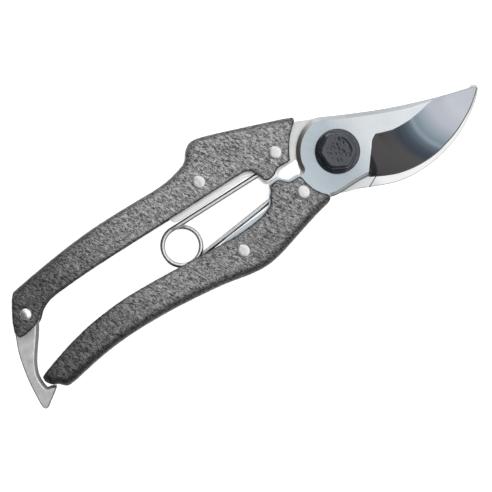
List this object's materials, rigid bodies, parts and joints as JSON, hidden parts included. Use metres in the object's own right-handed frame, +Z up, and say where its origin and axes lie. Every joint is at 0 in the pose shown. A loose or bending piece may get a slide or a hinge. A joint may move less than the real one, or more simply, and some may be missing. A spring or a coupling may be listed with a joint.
{
  "type": "pruning shears",
  "caption": "Hand-held bypass pruning shears: a cutting blade passes a hooked counter blade, a wire spring opens them and a swinging catch locks them shut.",
  "frame": {"origin": "on the blade pivot's axis, at the underside of the pivot nut, level with the undersides of the handles", "axes": "+X from the pivot toward the blade tips, +Y toward the upper handle, which carries the thumb shoulder, +Z up along the pivot bolt to its head"},
  "size_m": [0.201, 0.0568, 0.0156],
  "materials": {
    "cutting_blade": "ground, with a mirror-polished hollow grind",
    "counter_blade": "ground satin",
    "handle_coat": "wrinkled grey coat",
    "black_steel": "gloss black",
    "plain_steel": "plain zinc plate",
    "spring_wire": "bright drawn wire",
    "catch_steel": "matt grey",
    "rivet_steel": "satin"
  },
  "bodies": {
    "upper_half": {"counter_blade": "counter_blade", "upper_handle_shell": "handle_coat", "pivot_bolt": "black_steel", "pivot_washer": "plain_steel", "pivot_nut": "black_steel", "catch_rivet": "rivet_steel", "catch_spacers": "plain_steel", "upper_front_rivet": "rivet_steel", "upper_rear_rivet": "rivet_steel", "upper_front_packers": "plain_steel", "upper_rear_packers": "plain_steel"},
    "lower_half": {"cutting_blade": "cutting_blade", "lower_handle_shell": "handle_coat", "lower_front_rivet": "rivet_steel", "lower_rear_rivet": "rivet_steel", "lower_front_packers": "plain_steel", "lower_rear_packers": "plain_steel"},
    "catch": {"catch": "catch_steel"},
    "spring_upper": {"spring_upper_arm": "spring_wire"},
    "spring_lower": {"spring_lower_arm": "spring_wire"}
  },
  "joints": [
    {"name": "blade_pivot", "type": "hinge", "parent": "upper_half", "child": "lower_half", "pos_m": [0, 0, 0], "axis": [0, 0, 1], "range_deg": [0, 34]},
    {"name": "catch_swing", "type": "hinge", "parent": "upper_half", "child": "catch", "pos_m": [-0.1292, 0.0144, 0], "axis": [0, 0, -1], "range_deg": [0, 75]},
    {"name": "spring_upper_swing", "type": "hinge", "parent": "upper_half", "child": "spring_upper", "pos_m": [-0.0275, 0.0093, 0], "axis": [0, 0, 1], "range_deg": [0, 22]},
    {"name": "spring_loop_twist", "type": "hinge", "parent": "spring_upper", "child": "spring_lower", "pos_m": [-0.0675, 0.0032, 0], "axis": [0, 0, 1], "range_deg": [-24, 0]}
  ],
  "couplings": [
    {"joint": "spring_upper_swing", "follows": "blade_pivot", "ratio": 0.635},
    {"joint": "spring_loop_twist", "follows": "blade_pivot", "ratio": -0.69}
  ]
}
